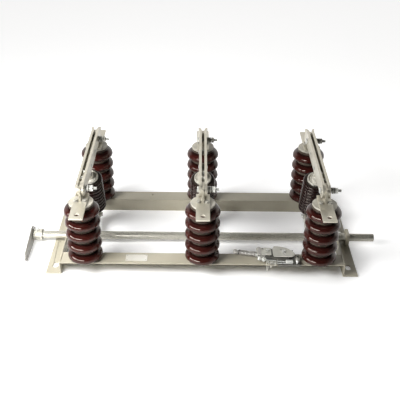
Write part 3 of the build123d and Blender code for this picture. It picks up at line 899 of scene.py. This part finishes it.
# Hand drive: a base plate with two blocks, a flat arm and sector on them, and a handle with a white knob
# The base plate in near-black steel: painted shade
dress("drive_base", base_steel_painted_shade, 0.0008)
base_low, base_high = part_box("drive_base")
arm_low, arm_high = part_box("drive_quadrant")
grip_low, grip_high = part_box("drive_handle")
grip_swing = radians(11)
grip_length = 0.080
grip_r = 0.0088
groove_r = 0.0081
groove_half = 0.0014
knob_r = 0.0090
knob = Vector((grip_low.x + knob_r, grip_high.y - knob_r, (grip_low.z + grip_high.z) / 2))
grip_root = knob + Vector((cos(grip_swing), -sin(grip_swing), 0)) * grip_length
grip_place = at(*grip_root) @ Matrix.Rotation(-grip_swing, 4, "Z") @ Matrix.Rotation(-pi / 2, 4, "Y")

ferrule = [(0, 0), (0.0082, 0), (0.0084, 0.0006), (0.0084, 0.0085), (0.0078, 0.0092), (0, 0.0092)]
sleeve = [(0, 0.0090), (0.0080, 0.0090), (0.0087, 0.0098)]
for groove in (0.020, 0.033, 0.046, 0.059):
    sleeve += [(grip_r, groove - groove_half), (groove_r, groove), (grip_r, groove + groove_half)]
sleeve += [(grip_r, 0.0655), (0, 0.0655)]
collar = [(0, 0.0650), (0.0080, 0.0652), (0.0082, 0.0660), (0.0082, 0.0685), (0.0058, 0.0692), (0, 0.0694)]
ball = [(0, 0.0690), (0.0056, 0.0692)]
ball += arc((0, grip_length), knob_r, -50, 88, 20) + [(0, grip_length + knob_r)]
for part, profile, steps, sharp, material in (
        ("ferrule", ferrule, 48, 40, zinc), ("sleeve", sleeve, 48, 50, sleeve_metal),
        ("collar", collar, 48, 40, dark_steel), ("knob", ball, 56, 40, knob_plastic)):
    piece("grip_" + part, turned(profile, steps, sharp), grip_place, material, replaced="drive_handle")


def curved_slot(centre, radius, half_width, start, end, steps=14):
    """Outline points of a curved slot with round ends."""
    first, last = arc(centre, radius, start, end, 1)
    points = arc(centre, radius + half_width, start, end, steps)
    points += arc(last, half_width, end, end + 180, 8)[1:-1]
    points += arc(centre, radius - half_width, end, start, steps)
    return points + arc(first, half_width, start + 180, start + 360, 8)[1:-1]


# The arm, the sector beyond a gap, and the bar that joins them from below
gap_start = arm_low.x + 0.0500
gap_end = gap_start + 0.0045
arm_front = arm_low.y + 0.010
arm_rear = arm_high.y - 0.0095
arm_thick = 0.0034
arm_top = arm_low.z + arm_thick
sector_thick = 0.0040
sector_z = arm_low.z + 0.0002
bridge_thick = 0.0060
arm_outline = rounded_box_outline(arm_low.x, gap_start, arm_front, arm_rear, 0.0016)
arm_hole = (arm_low.x + 0.021, arm_rear - 0.0075, 0.0032)
arm = plate(arm_outline, arm_thick, (arm_hole,))
piece("drive_arm", arm, at(0, 0, arm_low.z), drive_steel, "frame", "drive_quadrant", 0.0005)
sector_outline = [(arm_high.x - 0.010, arm_low.y), (gap_end + 0.004, arm_low.y + 0.0012),
                  (gap_end, arm_low.y + 0.010), (gap_end + 0.001, arm_high.y - 0.0130),
                  (gap_end + 0.006, arm_high.y - 0.0022)]
sector_mid = Vector((gap_end + 0.003, arm_low.y + 0.0065))      # what its rounded back turns about
round_reach = arm_high.x - sector_mid.x - 0.008
for step in range(1, 15):
    turn = radians(97 - 90 * step / 14)
    out = 0.008 + round_reach * cos(turn) ** 1.15 if turn < pi / 2 else 0.006
    back = (arm_high.y - sector_mid.y) * sin(turn)
    sector_outline.append((sector_mid.x + out, sector_mid.y + back))
sector_outline.append((arm_high.x, arm_low.y + 0.010))
slot_middle = (gap_end + 0.003, arm_low.y + 0.005)
slot_r = 0.041
slot_turn = radians(28)       # where the bolt stands in the slot
sector_slot = curved_slot(slot_middle, slot_r, 0.0024, 10, 50)
sector = plate(sector_outline, sector_thick, (), (sector_slot,))
piece("drive_sector", sector, at(0, 0, sector_z), drive_steel, "frame", "drive_quadrant", 0.0005)
# The bridge's dark steel, seen through the gap between arm and sector, stands in for the shade there: painted
# shade
bridge = rounded_box_outline(gap_start - 0.007, gap_end + 0.008, arm_front + 0.001, arm_rear - 0.001, 0.002)
place = at(0, 0, arm_low.z - 0.0002 - bridge_thick)
piece("drive_bridge", plate(bridge, bridge_thick), place, dark_steel, "frame", "drive_quadrant")
in_slot = (slot_middle[0] + slot_r * cos(slot_turn), slot_middle[1] + slot_r * sin(slot_turn))
on_arm = (gap_start - 0.011, (arm_front + arm_rear) / 2 + 0.002)
for name, spot, z, size in (("sector_bolt", in_slot, sector_z + sector_thick, sector_bolt),
                            ("bridge_bolt", on_arm, arm_top, bridge_bolt)):
    bolt_on_washer(name, name + "_washer", at(*spot, z), size, zinc, turn=40 * spot[0])

# Clamp of the handle: a strap over the arm's left end, held by two cross bolts with nuts at the front
strap_x = arm_low.x + 0.0085
clamp_rear = arm_rear + 0.004
clamp_front = arm_front - 0.0060
clamp_rod_length = clamp_rear - clamp_front + 0.010
for number, (x, z, across) in enumerate(((strap_x, 0.0690, 0.013), (strap_x + 0.0150, 0.0650, 0.015))):
    piece("clamp_rod_" + str(number), rod(0.0033, clamp_rod_length), against_y(x, clamp_rear, z), zinc)
    piece("clamp_nut_" + str(number), hexagon(across, 0.0070, 0.0030), against_y(x, clamp_front + 0.0010, z),
          bright_nut)
    piece("clamp_nut_rear_" + str(number), hexagon(across, 0.0060, 0.0030), against_y(x, clamp_rear, z),
          bright_nut)
strap_front = arm_front - 0.0030
strap_side = rounded_box_outline(strap_x - 0.006, strap_x + 0.0200, strap_front, strap_front + 0.0025, 0.001)
piece("clamp_strap_front", plate(strap_side, 0.020), at(0, 0, 0.0565), sleeve_metal, bevel=0.0005)
strap_top = rounded_box_outline(strap_x - 0.004, strap_x + 0.0060, strap_front, arm_rear + 0.0020, 0.001)
piece("clamp_strap_top", plate(strap_top, 0.0026), at(0, 0, arm_top), sleeve_metal, bevel=0.0006)

# Pull rods, wire loops and the pivot at the sector's right end
for word, (from_x, from_y, from_z), (to_x, to_y, to_z) in (
        ("upper", (0.030, -0.010, 0.064), (-0.048, -0.019, 0.062)),
        ("lower", (0.040, -0.018, 0.058), (-0.030, -0.025, 0.059))):
    path = run((arm_low.x + from_x, arm_front + from_y, from_z),
               (base_high.x + to_x, arm_front + to_y, to_z), 6)
    piece("pull_rod_" + word, tube(path, 0.0018, 12), as_drawn, zinc)
front_edge = base_low.y - 0.0015
wire_r = 0.0009
loop_half = 0.0030
for number, (x, depth) in enumerate(((0.2210, 0.033), (0.2330, 0.020), (0.2460, 0.014))):
    loop = []
    for step in range(25):
        turn = pi * step / 24
        loop.append((x - loop_half * cos(turn) + 0.0006 * sin(3 * turn), front_edge + 0.004 * (1 - sin(turn)),
                     0.066 - depth * sin(turn) ** 0.7))
    piece("wire_loop_" + str(number), tube(loop, wire_r, 8), as_drawn, drive_steel)
    piece("wire_turns_" + str(number), coil(loop_half, wire_r, 0.010, 3.5),
          along_x(x - 0.004, front_edge + 0.010, 0.062), drive_steel)

pivot = Vector((base_high.x - 0.0095, arm_low.y + 0.0155, base_low.z + 0.005))
boss = [(0.0042, 0), (0.0105, 0), (0.0105, 0.0090), (0.0098, 0.0098), (0.0078, 0.0098), (0.0074, 0.0088),
        (0.0056, 0.0088), (0.0052, 0.0120), (0.0042, 0.0120)]
piece("pivot_boss", turned(boss, 56), at(*pivot), drive_steel)
piece("pivot_core", rod(0.0036, 0.0128), at(*pivot), dark_steel)
ball_place = at(base_high.x - 0.0135, base_low.y + 0.0075, pivot.z)
piece("pivot_stem", rod(0.0030, 0.010), ball_place, zinc)
ball = arc((0, 0.0110), 0.0056, -80, 88, 18)
piece("pivot_ball", turned([(0, ball[0][1])] + ball + [(0, 0.0166)], 44), ball_place, bright_nut)
fork_x = base_high.x - 0.041
cheek = rounded_box_outline(fork_x - 0.011, fork_x + 0.013, 0.0, 0.012, 0.0045)
for number, off in enumerate((-0.0048, 0.0022)):
    piece("fork_cheek_" + str(number), plate(cheek, 0.0026, ((fork_x + 0.007, 0.006, 0.0028),)),
          against_y(0, arm_front - 0.0150 + off, pivot.z + 0.001), bright_nut, bevel=0.0005)

# Floor, world, lights and camera
floor_half = 14.0
work = bmesh.new()
bmesh.ops.create_grid(work, x_segments=2, y_segments=2, size=floor_half)
floor_mesh = bpy.data.meshes.new("floor")
work.to_mesh(floor_mesh)
work.free()
floor = bpy.data.objects.new("floor", floor_mesh)
bpy.context.scene.collection.objects.link(floor)

# The floor glows for camera, glossy and transmission rays: painted light, also seen in the object's
# reflections. It rises from nothing at the object's footprint to white beyond it, starting closer in on the
# right to wash out the shadow there, and a weaker glow of painted light inside the frame lifts the floor's
# shade toward the rear
ground = Surface("floor")
spot = ground.add("SeparateXYZ", {"Vector": ground.place()}).outputs
beyond = {}
for axis, reach, shift in (("X", 0.50, 0.035), ("Y", 0.22, 0.0)):
    off = ground.math("ABSOLUTE", ground.math("ADD", spot[axis], shift))
    beyond[axis] = ground.math("MAXIMUM", ground.math("SUBTRACT", off, reach), 0.0)
away = ground.add("VectorMath", {"Vector": ground.add("CombineXYZ", beyond)}, operation="LENGTH")
path = ground.add("LightPath").outputs
seen = ground.math("MAXIMUM", path["Is Camera Ray"], path["Is Glossy Ray"])
seen = ground.math("MAXIMUM", seen, path["Is Transmission Ray"])
outside = ground.between(away.outputs["Value"], 0.0, 0.15, 0.0, 0.64)
inside_painted_light = ground.between(spot["Y"], -0.19, -0.08, 0.0, 0.17)
floor_painted_light = ground.math("MULTIPLY", seen, ground.math("MAXIMUM", outside, inside_painted_light))
ground.set(Base_Color=(0.90, 0.90, 0.90), Roughness=0.9, Specular_IOR_Level=0.0, Emission_Color=(1, 1, 1),
           Emission_Strength=floor_painted_light)
floor_mesh.materials.append(ground.material)

world = bpy.data.worlds.new("studio")
bpy.context.scene.world = world
world.use_nodes = True
room = Nodes(world.node_tree)
room.tree.nodes.clear()

# The room is dark overhead and in front, with a bright wall behind the object and a dimmer one to its right
toward = room.add("SeparateXYZ", {"Vector": room.add("TexCoord").outputs["Generated"]}).outputs
low_part = room.between(toward["Z"], 0.50, 0.66, 1.0, 0.0)
rear_part = room.between(toward["Y"], 0.05, 0.45)
right_part = room.between(toward["X"], 0.55, 0.90, 0.0, 0.35)
walls = room.math("MULTIPLY", room.math("MAXIMUM", rear_part, right_part), low_part)
level = room.between(walls, 0.0, 1.0, 0.06, 1.5)
lit = room.add("Background", {"Color": (1, 0.99, 0.97), "Strength": level})
white = room.add("Background", {"Color": (1, 1, 1)})
choose = room.add("MixShader", {0: room.add("LightPath").outputs["Is Camera Ray"], 1: lit, 2: white})
room.add("OutputWorld", {"Surface": choose})

aim = Vector((0, 0, 0.12))


def soft_light(name, azimuth, elevation, distance, width, height, power):
    """A rectangular soft light that faces the object. Azimuth 0 is in front, positive to the right."""
    light = bpy.data.lights.new(name, "AREA")
    light.shape = "RECTANGLE"
    light.size = width
    light.size_y = height
    light.energy = power
    obj = bpy.data.objects.new(name, light)
    bpy.context.scene.collection.objects.link(obj)
    turn, rise = radians(azimuth), radians(elevation)
    away = Vector((sin(turn) * cos(rise), -cos(turn) * cos(rise), sin(rise)))
    obj.location = aim + away * distance
    obj.rotation_mode = "QUATERNION"
    obj.rotation_quaternion = away.to_track_quat("Z", "Y")
    return obj


for name, azimuth, width in (("strip_front", -32, 1.4), ("strip_side", -68, 1.1)):
    strip = soft_light(name, azimuth, 12, 2.2, width, 0.24, 31 * width)
    strip.visible_diffuse = False
key = soft_light("key", -52, 38, 1.4, 0.9, 0.6, 37)
key.visible_glossy = False

camera_data = bpy.data.cameras.new("camera")
camera = bpy.data.objects.new("camera", camera_data)
bpy.context.scene.collection.objects.link(camera)
bpy.context.scene.camera = camera
camera_data.sensor_width = 36
camera_data.lens = 63
camera_data.clip_end = 60
camera_place = Vector((-0.0162, -2.1436, 1.4902))
camera_pitch = 0.5556351
camera_yaw = 0.0033520
camera_roll = 0.0119258
look = (Matrix.Rotation(camera_roll, 3, "Y") @ Matrix.Rotation(camera_pitch, 3, "X")
        @ Matrix.Rotation(camera_yaw, 3, "Z"))
axes = Matrix((look[0], look[2], -look[1])).transposed()
camera.matrix_world = Matrix.Translation(camera_place) @ axes.to_4x4()

bpy.context.scene.view_settings.view_transform = "Standard"
